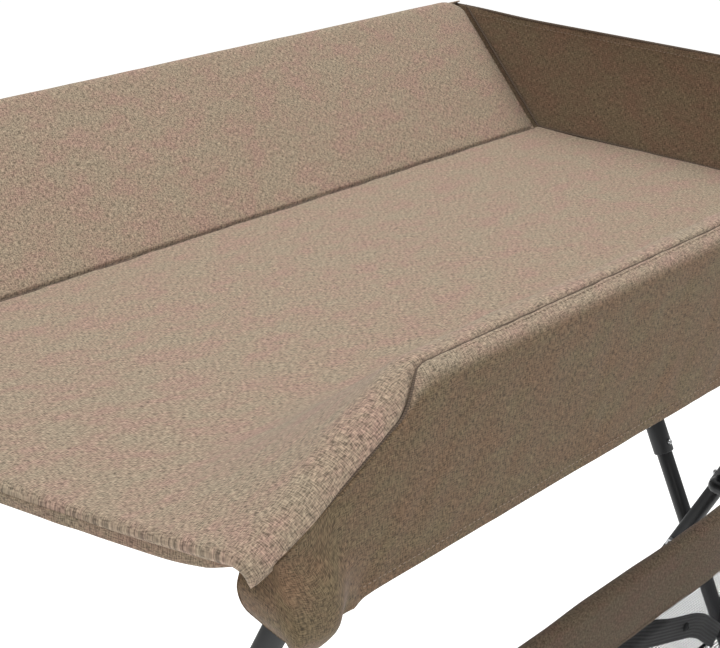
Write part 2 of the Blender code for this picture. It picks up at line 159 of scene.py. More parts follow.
def melange_cloth():
    """Woven polyester melange: slubby two-way threads in a beige, a grey-brown and a pinkish
    yarn. The eye gets a fine crosshatch with soft mottling, no gloss, and a faint fuzz."""
    material, tree, shader = new_material("melange_polyester_weave")
    cloth_map = node(tree, "ShaderNodeUVMap", {"uv_map": "cloth"})
    place = cloth_map.outputs["UV"]
    threads = []
    # threads 1 mm apart, drawn coarser than the usual 0.6 mm so that they show
    for scale, seed in (((300, 1500, 1), 0.0), ((1500, 270, 1), 7.3)):
        moved = node(tree, "ShaderNodeMapping", None,
                     {"Scale": scale, "Location": (seed, seed * 0.7, 0)}, {"Vector": place})
        noise = node(tree, "ShaderNodeTexNoise", {"noise_dimensions": "2D"},
                     {"Scale": 1.0, "Detail": 1.5, "Roughness": 0.55},
                     {"Vector": moved.outputs["Vector"]})
        threads.append(noise.outputs["Fac"])
    mixed = node(tree, "ShaderNodeMath", {"operation": "ADD"}, None,
                 {0: threads[0], 1: threads[1]})
    halved = node(tree, "ShaderNodeMath", {"operation": "MULTIPLY"}, {1: 0.5},
                  {0: mixed.outputs[0]})
    weave = node(tree, "ShaderNodeValToRGB", None, None, {"Fac": halved.outputs[0]})
    set_ramp(weave, [(0.34, 0.12), (0.46, 0.40), (0.55, 0.60), (0.67, 0.92)])
    # yarn lots: patches 20 to 50 mm across, drawn out along the weft
    moved = node(tree, "ShaderNodeMapping", None, {"Scale": (26, 44, 1), "Rotation": (0, 0, 0.5)},
                 {"Vector": place})
    lots = node(tree, "ShaderNodeTexNoise", {"noise_dimensions": "2D"},
                {"Scale": 1.0, "Detail": 5.0, "Roughness": 0.68},
                {"Vector": moved.outputs["Vector"]})
    tint = node(tree, "ShaderNodeValToRGB", None, None, {"Fac": lots.outputs["Fac"]})
    set_ramp(tint, [(0.36, "#988975"), (0.50, "#9a8774"), (0.66, "#9d8374")])
    # painted shade: a darker copy of the cloth colour, mottled by the same yarn lots, for cloth
    # faces that lie in shade
    painted_shade_tint = node(tree, "ShaderNodeValToRGB", None, None, {"Fac": lots.outputs["Fac"]})
    set_ramp(painted_shade_tint, [(0.36, "#6e5f48"), (0.50, "#6e5b46"), (0.66, "#725b46")])
    # painted shade: a per-place attribute blends from the lit cloth colour to its shaded copy
    painted_shade = node(tree, "ShaderNodeAttribute", {"attribute_name": "painted_shade"})
    base = node(tree, "ShaderNodeMix", {"data_type": "RGBA"}, None,
                {"Factor": painted_shade.outputs["Fac"], 6: tint.outputs["Color"],
                 7: painted_shade_tint.outputs["Color"]})
    shaded = node(tree, "ShaderNodeMix", {"data_type": "RGBA", "blend_type": "OVERLAY"},
                  {"Factor": 0.80}, {6: base.outputs[2], 7: weave.outputs["Color"]})
    tree.links.new(shaded.outputs[2], shader.inputs["Base Color"])
    rough = node(tree, "ShaderNodeMapRange", None, {3: 0.82, 4: 0.96},
                 {"Value": halved.outputs[0]})
    tree.links.new(rough.outputs["Result"], shader.inputs["Roughness"])
    bump = node(tree, "ShaderNodeBump", None, {"Strength": 0.35, "Distance": 0.0004},
                {"Height": halved.outputs[0]})
    tree.links.new(bump.outputs["Normal"], shader.inputs["Normal"])
    shader.inputs["Sheen Weight"].default_value = 0.12
    shader.inputs["Sheen Roughness"].default_value = 0.5
    shader.inputs["Specular IOR Level"].default_value = 0.25
    return material


def fine_material(name, pattern, settings, inputs, output, stops, roughness, relief=None):
    """A surface whose colour, and relief where given, follow one fine pattern."""
    material, tree, shader = new_material(name)
    place = node(tree, "ShaderNodeTexCoord").outputs["Object"]
    fine = node(tree, pattern, settings, inputs, {"Vector": place}).outputs[output]
    colour = node(tree, "ShaderNodeValToRGB", None, None, {"Fac": fine})
    set_ramp(colour, stops)
    tree.links.new(colour.outputs["Color"], shader.inputs["Base Color"])
    if relief:
        bump = node(tree, "ShaderNodeBump", None, {"Strength": relief[0], "Distance": relief[1]},
                    {"Height": fine})
        tree.links.new(bump.outputs["Normal"], shader.inputs["Normal"])
    shader.inputs["Roughness"].default_value = roughness
    return material


def webbing_weave():
    """Black polypropylene webbing: ribs 1.6 mm apart along the tape, a little shine."""
    material, tree, shader = new_material("polypropylene_webbing")
    place = node(tree, "ShaderNodeUVMap", {"uv_map": "cloth"}).outputs["UV"]
    ribs = node(tree, "ShaderNodeTexWave", {"bands_direction": "Y", "wave_profile": "SIN"},
                {"Scale": 98.0, "Distortion": 0.4, "Detail": 1.0}, {"Vector": place})
    picks = node(tree, "ShaderNodeTexWave", {"bands_direction": "X"},
                 {"Scale": 190.0, "Distortion": 0.3}, {"Vector": place})
    height = node(tree, "ShaderNodeMath", {"operation": "MULTIPLY_ADD"}, {1: 0.4},
                  {0: picks.outputs["Fac"], 2: ribs.outputs["Fac"]})
    colour = node(tree, "ShaderNodeValToRGB", None, None, {"Fac": height.outputs[0]})
    set_ramp(colour, [(0.2, "#0d0d0f"), (1.0, "#2e2e31")])
    tree.links.new(colour.outputs["Color"], shader.inputs["Base Color"])
    bump = node(tree, "ShaderNodeBump", None, {"Strength": 0.6, "Distance": 0.0004},
                {"Height": height.outputs[0]})
    tree.links.new(bump.outputs["Normal"], shader.inputs["Normal"])
    shader.inputs["Roughness"].default_value = 0.5
    return material


def coated_surface(name, dark, light, grain, rough_low, rough_high, bump_depth, metallic=0.0):
    """A fine-grained hard surface: two close colours, broken gloss and a shallow grain."""
    material, tree, shader = new_material(name)
    place = node(tree, "ShaderNodeTexCoord").outputs["Object"]
    fine = node(tree, "ShaderNodeTexNoise", None,
                {"Scale": grain, "Detail": 3.0, "Roughness": 0.6}, {"Vector": place})
    broad = node(tree, "ShaderNodeTexNoise", None, {"Scale": 22.0, "Detail": 3.0},
                 {"Vector": place})
    colour = node(tree, "ShaderNodeValToRGB", None, None, {"Fac": broad.outputs["Fac"]})
    set_ramp(colour, [(0.3, dark), (0.7, light)])
    tree.links.new(colour.outputs["Color"], shader.inputs["Base Color"])
    rough = node(tree, "ShaderNodeMapRange", None, {1: 0.3, 2: 0.7, 3: rough_low, 4: rough_high},
                 {"Value": fine.outputs["Fac"]})
    tree.links.new(rough.outputs["Result"], shader.inputs["Roughness"])
    bump = node(tree, "ShaderNodeBump", None, {"Strength": 0.25, "Distance": bump_depth},
                {"Height": fine.outputs["Fac"]})
    tree.links.new(bump.outputs["Normal"], shader.inputs["Normal"])
    shader.inputs["Metallic"].default_value = metallic
    return material


CLOTH_FACE = melange_cloth()
# the same polyester cut on the bias round a cord: darker, twill ribs across the run
WELT = fine_material("bias_cut_polyester_welt", "ShaderNodeTexWave",
                     {"bands_direction": "DIAGONAL"},
                     {"Scale": 260.0, "Distortion": 1.0, "Detail": 2.0}, "Fac",
                     [(0.2, "#4a3d31"), (0.8, "#66574a")], 0.9, (0.4, 0.0002))
# spun polyester sewing thread: a two-ply twist with a slight lustre
THREAD = fine_material("spun_polyester_thread", "ShaderNodeTexWave",
                       {"bands_direction": "DIAGONAL"}, {"Scale": 700.0, "Distortion": 0.5},
                       "Fac", [(0.2, "#7d6b59"), (0.8, "#9a8774")], 0.6)
# non-woven polypropylene under the deck: matt brown-black with pressed dimples
LINING = fine_material("non_woven_polypropylene", "ShaderNodeTexVoronoi", None,
                       {"Scale": 480.0}, "Distance", [(0.1, "#2b2622"), (0.7, "#3a342e")],
                       0.85, (0.3, 0.0003))
# black warp-knitted polyester yarn: a dull black with single lighter filaments
NET = fine_material("warp_knitted_polyester_net", "ShaderNodeTexNoise", None,
                    {"Scale": 1500.0, "Detail": 2.0}, "Fac",
                    [(0.35, "#17171a"), (0.7, "#3a3a3e")], 0.7)
WEBBING = webbing_weave()
# satin powder coat on steel tube: orange-peel grain of about 1.5 mm, soft wide highlights
POWDER = coated_surface("black_powder_coat", "#131416", "#1d1e21", 700.0, 0.28, 0.42, 0.0001)
# glass-filled nylon, spark-eroded mould: even matt black, slightly greyer than the steel
NYLON = coated_surface("moulded_black_nylon", "#17181a", "#222326", 1400.0, 0.45, 0.6, 0.0001)
# bright zinc plate: pale grey metal, brushed by tumbling
ZINC = coated_surface("bright_zinc_plate", "#a9abad", "#c6c8ca", 900.0, 0.22, 0.4, 0.00005, 1.0)
# moulded thermoplastic rubber: dull, dusty black
RUBBER = coated_surface("moulded_rubber", "#1b1b1b", "#2a2a29", 900.0, 0.65, 0.85, 0.0002)
# grey chipboard stiffener: matt, speckled
BOARD = coated_surface("pressed_fibre_board", "#6c6459", "#867c6f", 1100.0, 0.75, 0.9, 0.0002)


# ---------------------------------------------------------------- making meshes

def ease(t):
    t = np.clip(t, 0, 1)
    return t * t * (3 - 2 * t)


def ripple(u, v, pitch_u, pitch_v, seed):
    """Smooth random relief from -1 to 1, with the given lengths along u and v."""
    values = np.random.RandomState(seed).uniform(-1, 1, (64, 64))
    a, b = u / pitch_u + 200.5, v / pitch_v + 200.5
    i, j = np.floor(a).astype(int), np.floor(b).astype(int)
    s, t = ease(a - i), ease(b - j)
    corner = [values[(i + di) % 64, (j + dj) % 64] for di in (0, 1) for dj in (0, 1)]
    return ((corner[0] * (1 - t) + corner[1] * t) * (1 - s)
            + (corner[2] * (1 - t) + corner[3] * t) * s)


def stations(start, stop, step, soft_start, soft_stop):
    """Places across a panel, closer together in its rounded borders."""
    rise = np.array([0, 0.02, 0.08, 0.2, 0.4, 0.68, 1.0])
    first, last = start + soft_start * rise, stop - soft_stop * rise[::-1]
    count = max(int((last[0] - first[-1]) / step), 2)
    return np.concatenate([first, np.linspace(first[-1], last[0], count + 1)[1:-1], last])


def quads(grid):
    """Faces between the neighbours of a grid of point numbers."""
    return np.stack([grid[:-1, :-1], grid[1:, :-1], grid[1:, 1:], grid[:-1, 1:]],
                    axis=-1).reshape(-1, 4)


def link_mesh(name, points, faces, material):
    mesh = bpy.data.meshes.new(name)
    mesh.from_pydata([tuple(p) for p in points], [], [tuple(f) for f in faces])
    mesh.update()
    mesh.materials.append(material)
    mesh.shade_smooth()
    item = bpy.data.objects.new(name, mesh)
    bpy.context.scene.collection.objects.link(item)
    return item


def add_map(item, uv, painted_shade=None):
    """Cloth map in metres and, where given, how much painted shade each place takes: 0 keeps the
    lit cloth colour, 1 its darker shaded copy.
    """
    mesh = item.data
    layer = mesh.uv_layers.new(name="cloth")
    index = np.empty(len(mesh.loops), dtype=int)
    mesh.loops.foreach_get("vertex_index", index)
    layer.data.foreach_set("uv", np.asarray(uv)[index].astype(np.float32).ravel())
    values = np.zeros(len(mesh.vertices)) if painted_shade is None else np.asarray(painted_shade)
    attribute = mesh.attributes.new("painted_shade", "FLOAT", "POINT")
    attribute.data.foreach_set("value", values.astype(np.float32))


def panel(name, middle, us, vs, thickness, soft, relief=None, painted_shade=None, material=None):
    """Closed sewn panel: its middle surface from u and v, thinned to nothing in its borders."""
    u, v = np.meshgrid(us, vs, indexing="ij")
    points = middle(u, v)
    across = np.gradient(points, us, axis=0)
    along = np.gradient(points, vs, axis=1)
    normal = np.cross(across, along)
    normal /= np.linalg.norm(normal, axis=2, keepdims=True) + 1e-12
    full = np.ones_like(u)
    for distance, reach in ((u - us[0], soft[0]), (us[-1] - u, soft[1]),
                            (v - vs[0], soft[2]), (vs[-1] - v, soft[3])):
        full *= np.sqrt(1 - np.clip(1 - distance / reach, 0, 1) ** 2)
    full = full[..., None]
    raised = relief(u, v)[..., None] * np.minimum(full * 1.5, 1) if relief else 0.0
    top = points + normal * (full * thickness / 2 + raised)
    under = points - normal * (full * thickness / 2 - (raised if thickness < 0.004 else 0.0))
    nu, nv = u.shape
    upper = np.arange(nu * nv).reshape(nu, nv)
    lower = upper.copy()
    inner = np.zeros((nu, nv), bool)
    inner[1:-1, 1:-1] = True
    lower[inner] = nu * nv + np.arange(inner.sum())
    vertices = np.concatenate([top.reshape(-1, 3), under[inner]])
    faces = np.concatenate([quads(upper), quads(lower)[:, ::-1]])
    item = link_mesh(name, vertices, faces, material or CLOTH_FACE)
    length = np.zeros_like(u)
    length[:, 1:] = np.cumsum(np.linalg.norm(np.diff(points, axis=1), axis=2), axis=1)
    uv = np.stack([u, length], axis=-1)
    # painted shade of each place, where given
    shade = painted_shade(u, v) if painted_shade else np.zeros_like(u)
    add_map(item, np.concatenate([uv.reshape(-1, 2), uv[inner]]),
            np.concatenate([shade.ravel(), shade[inner]]))
    return item


def ring(place, side, other, radius, sides):
    turns = [2 * math.pi * k / sides for k in range(sides)]
    return [place + (side * math.cos(t) + other * math.sin(t)) * radius for t in turns]


def ringed(name, places, rings, material):
    """Closed shell over rings of points, capped at its first and last place."""
    sides = len(rings[0])
    points = [p for ring_points in rings for p in ring_points] + [places[0], places[-1]]
    faces = []
    for row in range(len(rings) - 1):
        for k in range(sides):
            a, b = row * sides + k, row * sides + (k + 1) % sides
            faces.append((a, b, b + sides, a + sides))
    last, tail = (len(rings) - 1) * sides, len(points)
    for k in range(sides):
        faces.append((tail - 2, (k + 1) % sides, k))
        faces.append((tail - 1, last + k, last + (k + 1) % sides))
    return link_mesh(name, points, faces, material)


def sweep(name, path, radius, material, sides):
    """Closed round tube along a path."""
    rings, side = [], None
    for index, point in enumerate(path):
        run = (path[min(index + 1, len(path) - 1)] - path[max(index - 1, 0)]).normalized()
        side = run.orthogonal() if side is None else side - run * side.dot(run)
        side.normalize()
        rings.append(ring(point, side, run.cross(side), radius, sides))
    return ringed(name, path, rings, material)


def turned(name, start, stop, outline, material, sides=48):
    """Turned or drawn part. The outline is distance along the axis and radius, and a distance
    below 0 counts back from the far end."""
    start, stop = Vector(start), Vector(stop)
    run, length = (stop - start).normalized(), (stop - start).length
    side = run.orthogonal().normalized()
    other = run.cross(side)
    places = [start + run * (along if along >= 0 else length + along) for along, _ in outline]
    rings = [ring(place, side, other, radius, sides)
             for place, (_, radius) in zip(places, outline)]
    item = ringed(name, places, rings, material)
    item.data.set_sharp_from_angle(angle=math.radians(35))
    return item


def tray_point(x, y, z):
    return Vector((x, MID_Y + y, DECK + z))


def grid_points(x, y, z):
    return np.stack(np.broadcast_arrays(x, MID_Y + y, DECK + z), axis=-1)


def across_fold(item):
    """Deck and sides lie across the two rail frames: the piece's place is baked into its mesh and
    it is attached to neither frame.
    """
    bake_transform(item)


def rides(item, body):
    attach(item, body)


# ---------------------------------------------------------------- repeats

def input_socket(tree, name, kind, value):
    socket = tree.interface.new_socket(name, in_out="INPUT", socket_type=kind)
    if value is not None:
        socket.default_value = value
    return socket


def stitch_tree():
    """Stitches laid end to end along the edges of a line."""
    tree = bpy.data.node_groups.new("lockstitch", "GeometryNodeTree")
    input_socket(tree, "Line", "NodeSocketGeometry", None)
    input_socket(tree, "Pitch", "NodeSocketFloat", 0.0042)
    input_socket(tree, "Length", "NodeSocketFloat", 0.0030)
    input_socket(tree, "Thickness", "NodeSocketFloat", 0.0007)
    input_socket(tree, "Thread", "NodeSocketMaterial", None)
    tree.interface.new_socket("Stitches", in_out="OUTPUT", socket_type="NodeSocketGeometry")
    given = node(tree, "NodeGroupInput").outputs
    line = node(tree, "GeometryNodeMeshToCurve", None, None, {"Mesh": given["Line"]})
    even = node(tree, "GeometryNodeResampleCurve", {"mode": "LENGTH"}, None,
                {"Curve": line.outputs["Curve"], "Length": given["Pitch"]})
    bead = node(tree, "GeometryNodeMeshIcoSphere", None, {"Radius": 0.5, "Subdivisions": 1})
    size = node(tree, "ShaderNodeCombineXYZ", None, None,
                {"X": given["Thickness"], "Y": given["Thickness"], "Z": given["Length"]})
    thread = node(tree, "GeometryNodeTransform", None, None,
                  {"Geometry": bead.outputs["Mesh"], "Scale": size.outputs["Vector"]})
    run = node(tree, "GeometryNodeInputTangent")
    turn = node(tree, "FunctionNodeAlignRotationToVector", {"axis": "Z"}, None,
                {"Vector": run.outputs["Tangent"]})
    laid = node(tree, "GeometryNodeInstanceOnPoints", None, None,
                {"Points": even.outputs["Curve"], "Instance": thread.outputs["Geometry"],
                 "Rotation": turn.outputs["Rotation"]})
    real = node(tree, "GeometryNodeRealizeInstances", None, None,
                {"Geometry": laid.outputs["Instances"]})
    painted = node(tree, "GeometryNodeSetMaterial", None, None,
                   {"Geometry": real.outputs["Geometry"], "Material": given["Thread"]})
    node(tree, "NodeGroupOutput", None, None, {"Stitches": painted.outputs["Geometry"]})
    return tree


def net_tree():
    """A hole through every cell of a sheet."""
    tree = bpy.data.node_groups.new("knitted_net", "GeometryNodeTree")
    input_socket(tree, "Sheet", "NodeSocketGeometry", None)
    input_socket(tree, "Hole", "NodeSocketFloat", 0.64)
    input_socket(tree, "Yarn", "NodeSocketMaterial", None)
    tree.interface.new_socket("Net", in_out="OUTPUT", socket_type="NodeSocketGeometry")
    given = node(tree, "NodeGroupInput").outputs
    cell = node(tree, "GeometryNodeExtrudeMesh", {"mode": "FACES"},
                {"Offset Scale": 0.0, "Individual": True}, {"Mesh": given["Sheet"]})
    hole = node(tree, "GeometryNodeScaleElements", {"domain": "FACE"}, None,
                {"Geometry": cell.outputs["Mesh"], "Selection": cell.outputs["Top"],
                 "Scale": given["Hole"]})
    opened = node(tree, "GeometryNodeDeleteGeometry", {"domain": "FACE"}, None,
                  {"Geometry": hole.outputs["Geometry"], "Selection": cell.outputs["Top"]})
    real = node(tree, "GeometryNodeRealizeInstances", None, None,
                {"Geometry": opened.outputs["Geometry"]})
    painted = node(tree, "GeometryNodeSetMaterial", None, None,
                   {"Geometry": real.outputs["Geometry"], "Material": given["Yarn"]})
    node(tree, "NodeGroupOutput", None, None, {"Net": painted.outputs["Geometry"]})
    return tree


STITCHES, NETTING = stitch_tree(), net_tree()


def grown(source, tree, values):
    """Runs a node tree on an object and keeps the result as a plain mesh."""
    modifier = source.modifiers.new("grow", "NODES")
    modifier.node_group = tree
    for socket in tree.interface.items_tree:
        if socket.name in values:
            modifier[socket.identifier] = values[socket.name]
    bpy.context.view_layer.update()
    result = source.evaluated_get(bpy.context.evaluated_depsgraph_get())
    mesh = bpy.data.meshes.new_from_object(result)
    source.modifiers.remove(modifier)
    source.data = mesh
    return source


def stitch_run(name, lines, pitch=0.0042):
    """Lockstitch along one or more lines of points."""
    points, edges = [], []
    for line in lines:
        first = len(points)
        points += [tuple(p) for p in line]
        edges += [(k, k + 1) for k in range(first, len(points) - 1)]
    mesh = bpy.data.meshes.new(name)
    mesh.from_pydata(points, edges, [])
    item = bpy.data.objects.new(name, mesh)
    bpy.context.scene.collection.objects.link(item)
    grown(item, STITCHES, {"Pitch": pitch, "Length": pitch * 0.72, "Thread": THREAD})
    item.data.shade_smooth()
    return item


# ---------------------------------------------------------------- deck

def near_x(y):
    """The near edge bows out towards the middle of the deck."""
    bow = np.sqrt((y + 0.02) ** 2 + 0.06 ** 2) - 0.06
    return NEAR - 0.0125 + np.where(y < -0.02, 0.263, 0.10) * bow


def bowed(u, y):
    """X of a place u along the tray (NEAR to FAR), with the near edge's bow taken in."""
    return FAR - (FAR - u) * (FAR - near_x(y)) / (FAR - NEAR)


def front_rise(x):
    """Height of the front side's crown above the deck along its length."""
    t = np.clip((x - FRONT_NEAR) / RAMP_RUN, 0, 1)
    return 0.006 + (FRONT_RISE - 0.006) * (0.45 * t + 0.55 * ease(t))


def crown(x):
    """Centre height of the rolled crown, and 1 on the straight part falling to 0 on the ramp."""
    straight = ease((x - (FRONT_NEAR + RAMP_RUN - 0.034)) / 0.030)
    return front_rise(x) - CROWN_R, straight


def seam_angle(x):
    """Places round the crown of the outer cloth's touch and of the crown seam, in radians."""
    centre_z, straight = crown(x)
    dy, dz = CROWN_Y + SKIRT_Y, centre_z - HEM
    span = np.sqrt(dy ** 2 + dz ** 2)
    touch = np.arctan2(dz, dy) + np.arcsin((CROWN_R - CLOTH / 2) / span) + math.pi / 2
    ramp = touch - math.radians(7)
    return touch, ramp + (math.radians(114) - ramp) * straight


ARC, SIDE = 0.045, 0.165        # v where the crown ends, and where the deck begins
SHOULDER = math.radians(186)


def cover_middle(u, v):
    """One cloth from the front shoulder over the crown, down the slope and across the deck."""
    radius = CROWN_R - PAD / 2
    y_guess = np.where(v < SIDE, CROWN_Y + (v / SIDE) * (-FOLD - CROWN_Y), -FOLD + v - SIDE)
    x = bowed(u, y_guess)
    centre_z, _ = crown(x)
    fold_y, fold_z = -FOLD, -PAD / 2
    dy, dz = CROWN_Y - fold_y, centre_z - fold_z
    span = np.sqrt(dy ** 2 + dz ** 2)
    lean = np.arctan2(dz, dy) % (2 * math.pi) - np.arcsin(radius / span)
    touch = lean - math.pi / 2
    angle = SHOULDER + (touch - SHOULDER) * np.clip(v / ARC, 0, 1)
    y = CROWN_Y + radius * np.cos(angle)
    z = centre_z + radius * np.sin(angle)
    t = np.clip((v - ARC) / (SIDE - ARC), 0, 1)
    y = np.where(v > SIDE, -FOLD + v - SIDE, y + (fold_y - y) * t)
    z = np.where(v > SIDE, fold_z, z + (fold_z - z) * t)
    points = grid_points(x, y, z)
    for _ in range(26):         # eases the fold line into a hollow
        smooth = points.copy()
        smooth[:, 1:-1] = (points[:, :-2] + 2 * points[:, 1:-1] + points[:, 2:]) / 4
        share = np.exp(-((v - SIDE) / 0.030) ** 2)[..., None]
        points = points + (smooth - points) * share
    return points


def cover_relief(u, v):
    slack = 0.0009 * ripple(u, v, 0.11, 0.09, 3) + 0.0004 * ripple(u + v, v - u, 0.05, 0.02, 4)
    pucker = 0.0005 * ripple(u, v, 0.011, 0.05, 5) * np.exp(-(SIDE + 2 * FOLD - v) / 0.012)
    near = 0.0005 * ripple(v, u, 0.014, 0.06, 6) * np.exp(-(u - NEAR) / 0.014)
    x = bowed(u, CROWN_Y + 0 * u)
    shoulder = 0.0022 * np.exp(-((x - RAMP_TOP + 0.010) / 0.016) ** 2)
    gather = (0.0013 * ripple(x + v, v, 0.013, 0.03, 23)
              * np.exp(-((x - RAMP_TOP + 0.006) / 0.022) ** 2))
    crimp = 0.0006 * ripple(x, v, 0.010, 0.03, 22)
    over = ease((0.060 - v) / 0.030)
    # under the outer cloth the padding lies a cloth's thickness lower
    _, seam = seam_angle(x)
    angle = SHOULDER + (math.radians(62) - SHOULDER) * np.clip(v / ARC, 0, 1)
    tucked = ease((angle - seam) / math.radians(9) + 0.5)
    seam_relief = (shoulder + gather + crimp) * over * (1 - tucked)
    return slack + pucker + near + seam_relief - 0.0024 * tucked


deck_rows = np.concatenate([np.linspace(0, ARC, 26), np.arange(ARC + 0.005, SIDE + 0.04, 0.005),
                            stations(SIDE + 0.045, SIDE + 2 * FOLD, 0.006, 0.001, 0.0035)])
deck = panel("deck_and_front_cover", cover_middle, stations(NEAR, FAR, 0.0042, 0.005, 0.004),
             deck_rows, PAD, (0.005, 0.004, 0.008, 0.0035), cover_relief)
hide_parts("deck_pad", "front_side_pad")
across_fold(deck)

lining = panel("deck_base_lining", lambda u, v: grid_points(bowed(u, v), v, -0.0122),
               stations(NEAR + 0.006, FAR - 0.002, 0.02, 0.0012, 0.0012),
               stations(-FOLD + 0.001, FOLD - 0.001, 0.012, 0.0012, 0.0012),
               0.0026, (0.0012,) * 4, material=LINING)
across_fold(lining)


# ---------------------------------------------------------------- rear side

SLOPE = Vector((0.0, SIDE_Y - FOLD, REAR_RISE))
SLOPE_RUN = SLOPE.length


def rear_middle(u, v):
    """The rear side's middle surface; its far top corner is cut round."""
    past = np.clip((u - (FAR - 0.034)) / 0.034, 0, 1)
    short = 1 - 0.11 * (1 - np.sqrt(1 - past ** 2))
    reach = v * short
    y = FOLD + 0.0006 + reach * SLOPE.y / SLOPE_RUN + PAD / 2 * SLOPE.z / SLOPE_RUN
    z = reach * SLOPE.z / SLOPE_RUN - PAD / 2 * SLOPE.y / SLOPE_RUN
    return grid_points(bowed(u, y), y, z)


def rear_relief(u, v):
    slack = 0.0011 * ripple(u, v, 0.13, 0.08, 11) + 0.0004 * ripple(u - v, v + u, 0.06, 0.02, 12)
    dip = -0.0042 * np.clip(1 - (FAR - u) / 0.034, 0, 1) ** 2
    pucker = 0.0005 * ripple(u, v, 0.010, 0.04, 13) * np.exp(-v / 0.012)
    return slack + dip + pucker


rear_side = panel("rear_side_cover", rear_middle, stations(NEAR, FAR, 0.006, 0.005, 0.005),
                  stations(0.0, SLOPE_RUN, 0.005, 0.0035, 0.007),
                  PAD, (0.005, 0.005, 0.0035, 0.007), rear_relief)
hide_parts("rear_side_pad")
across_fold(rear_side)


def board_middle(u, v):
    """Stiffener on the back of the front side's straight part."""
    lean = math.atan2(FRONT_RISE - CROWN_R + 0.012, -CROWN_Y - FOLD)
    y = -FOLD - 0.012 - v * math.cos(lean) - (PAD / 2 + 0.0016) * math.sin(lean)
    z = 0.004 + v * math.sin(lean) - (PAD + 0.0016) * math.cos(lean)
    return grid_points(u, y, z)


board = panel("front_side_stiffener", board_middle,
              stations(RAMP_TOP + 0.008, FAR - 0.008, 0.03, 0.001, 0.001),
              stations(0.0, 0.062, 0.01, 0.001, 0.001), 0.002, (0.001,) * 4, material=BOARD)
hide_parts("front_side_board")
rides(board, FRONT)


# ---------------------------------------------------------------- outer cloth

def pocket_hem(x):
    """Lower edge of the front cloth: a rounded pocket hangs round the near leg's top."""
    pocket = np.array([-0.030, 0.0, 0.010, 0.020, 0.029, 0.037, 0.043, 0.048, 0.054, 0.068])
    drops = np.array([0.040, 0.049, 0.056, 0.0600, 0.061, 0.059, 0.055, 0.0505, 0.0470, 0.0455])
    return -np.interp(x, FRONT_NEAR + 0.004 + pocket, drops) - 0.0010


WRAP, CORNER_R = 0.022, 0.011
FLAT = 0.72                     # v where the cloth leaves its flat face for the crown
elbow_low, elbow_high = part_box("inner_leg_elbow_open_end")
ELBOW_X = (elbow_low.x + elbow_high.x) / 2
WRAP_END = WRAP + CORNER_R * math.pi / 2
OUT_X = float(near_x(np.array(-SKIRT_Y + 0.008)))
END_X = FAR + 0.003
CLOTH_RUN = END_X - OUT_X - CORNER_R


def front_cloth(u, v):
    """Outer cloth from its hem (v 0) over the shoulder to the crown seam (v 1). u runs from the
    wrap inside the near corner round to the far end."""
    along = np.maximum(u - WRAP_END, 0)
    x = OUT_X + CORNER_R + along
    centre_z, _ = crown(x)
    touch, seam = seam_angle(x)
    radius = CROWN_R - CLOTH / 2
    bottom = pocket_hem(x - np.maximum(WRAP_END - u, 0))
    touch_y, touch_z = CROWN_Y + radius * np.cos(touch), centre_z + radius * np.sin(touch)
    t = np.clip(v / FLAT, 0, 1)
    z = bottom + (touch_z - bottom) * t
    drop = np.clip((z - HEM) / (touch_z - HEM), -1, 1)
    y = -SKIRT_Y + (touch_y + SKIRT_Y) * np.maximum(drop, 0)
    s = np.clip((v - FLAT) / (1 - FLAT), 0, 1)
    angle = touch + (seam - touch) * s
    y = np.where(v > FLAT, CROWN_Y + radius * np.cos(angle), y)
    z = np.where(v > FLAT, centre_z + radius * np.sin(angle), z)
    # the pocket closes in under the elbow, and its near edge slants back to the leg
    pocket = 1 - ease((x - POCKET_X - 0.012) / 0.016)
    cup = np.clip(1 - (z - bottom) / 0.024, 0, 1) ** 2 * pocket
    y = y + 0.009 * cup
    inset = y + SKIRT_Y
    slant = np.maximum(-0.010 - z, 0) * 0.14
    turn = np.clip((WRAP_END - u) / CORNER_R, 0, math.pi / 2)
    back = np.clip(WRAP - u, 0, None)
    corner_x, corner_y = OUT_X + CORNER_R + slant, -SKIRT_Y + CORNER_R
    ring_x = corner_x - (CORNER_R - inset) * np.sin(turn)
    ring_y = corner_y - (CORNER_R - inset) * np.cos(turn) + back
    x = np.where(u < WRAP_END, ring_x, x + slant * (1 - along / CLOTH_RUN) ** 12)
    y = np.where(u < WRAP_END, ring_y, y)
    z = np.where(u < WRAP_END, np.minimum(z, 0), z)
    # and it bulges round the elbow inside it
    beside = np.maximum(np.abs(x - ELBOW_X) - 0.011, 0) / 0.020
    bulge = 0.0130 * np.exp(-beside ** 2) * ease((-0.006 - z) / 0.020)
    front = np.clip(1 - (y + SKIRT_Y) / 0.030, 0, 1)
    return grid_points(x - 0.35 * bulge * (u < WRAP_END), y - bulge * front, z)


def front_cloth_relief(u, v):
    x = OUT_X + CORNER_R + u - WRAP_END
    on_ramp = ease((x - FRONT_NEAR + 0.02) / 0.03) * (1 - ease((x - RAMP_TOP - 0.020) / 0.035))
    z = v * 0.12 - 0.045
    pull = ripple(x * 0.55 + z * 0.84, z * 0.5 - x * 0.8, 0.0052, 0.06, 31)
    pull = pull * np.exp(-np.maximum(FLAT - v, 0) / 0.22) * on_ramp * 0.0010
    slack = 0.0013 * ripple(x, z, 0.09, 0.07, 32) + 0.0005 * ripple(x + z, z - x, 0.04, 0.015, 33)
    pucker = 0.0006 * ripple(x, v, 0.011, 0.5, 34) * np.exp(-(1 - v) / 0.10)
    return pull + slack * (1 - ease((v - 0.55) / 0.3)) + pucker


# painted shade: the outer cloth is painted dark on its upright face and all along the ramp, and
# lit towards the crown on the straight part
def front_painted_shade(u, v):
    x = OUT_X + CORNER_R + np.maximum(u - WRAP_END, 0)
    _, straight = crown(x)
    return 1 - ease((v - 0.76) / 0.16) * straight


